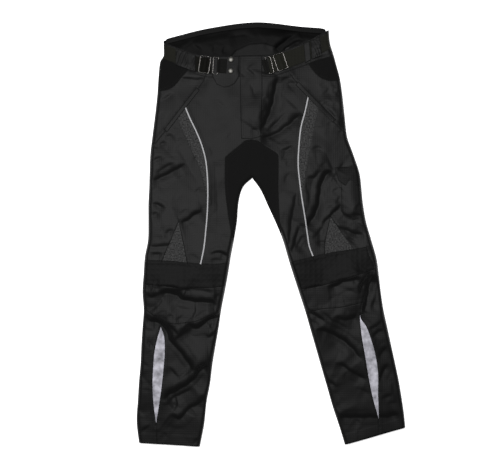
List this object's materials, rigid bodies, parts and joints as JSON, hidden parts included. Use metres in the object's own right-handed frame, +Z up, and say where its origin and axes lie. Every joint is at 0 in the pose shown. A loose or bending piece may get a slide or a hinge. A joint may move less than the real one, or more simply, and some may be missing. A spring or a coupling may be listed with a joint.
{
  "type": "motorcycle trousers",
  "caption": "Textile motorcycle trousers laid flat on their back, with belt, fly flap, knee panels and a cargo pocket; open at waist and hems.",
  "frame": {"origin": "on the surface that the trousers rest on, under the middle of their outline", "axes": "+Y from the hems to the waist, +X towards the wearer's left, +Z up, out of the front"},
  "size_m": [0.688, 1.082, 0.0324],
  "materials": {
    "cloth": "matt woven",
    "front_cloth": "matt woven",
    "suede": "napped",
    "stretch": "ribbed stretch",
    "band": "coarse woven",
    "insert": "open mesh",
    "reflector": "glass-bead film",
    "piping": "glass-bead film",
    "webbing": "woven webbing",
    "lining": "smooth",
    "dark_lining": "smooth",
    "metal": "satin"
  },
  "bodies": {
    "root": {"back_panel_left": "cloth", "back_panel_right": "cloth", "back_waistband_left": "cloth", "back_waistband_right": "cloth", "belt_casing_left": "cloth", "belt_casing_right": "cloth", "belt_keeper_left": "cloth", "belt_strap_left": "webbing", "belt_strap_right": "webbing", "buckle_ring_left": "metal", "buckle_ring_right": "metal", "buckle_slider_left": "metal", "buckle_slider_right": "metal", "cargo_flap": "cloth", "cargo_pocket": "cloth", "crescent_insert_left": "insert", "crescent_insert_right": "insert", "crotch_gusset_left": "suede", "crotch_gusset_right": "suede", "fly_flap": "front_cloth", "front_centre_left": "front_cloth", "front_centre_right": "front_cloth", "front_tab": "front_cloth", "hip_front_left": "cloth", "hip_front_right": "cloth", "hip_stretch_left": "stretch", "hip_stretch_right": "stretch", "knee_band_left": "band", "knee_band_right": "band", "lining_panel": "lining", "lining_yoke": "dark_lining", "piping_left": "piping", "piping_right": "piping", "pocket_welt_left": "cloth", "pocket_welt_right": "cloth", "reflector_left": "reflector", "reflector_right": "reflector", "ring_loop_left": "webbing", "ring_loop_right": "webbing", "shin_inner_left": "front_cloth", "shin_inner_right": "front_cloth", "shin_outer_left": "front_cloth", "shin_outer_right": "front_cloth", "shin_top_left": "front_cloth", "shin_top_right": "front_cloth", "side_thigh_left": "cloth", "side_thigh_right": "cloth", "snap_lower": "metal", "snap_upper": "metal", "thigh_insert_left": "insert", "thigh_insert_right": "insert", "waistband_front_left": "front_cloth", "waistband_front_right": "front_cloth"}
  },
  "joints": []
}
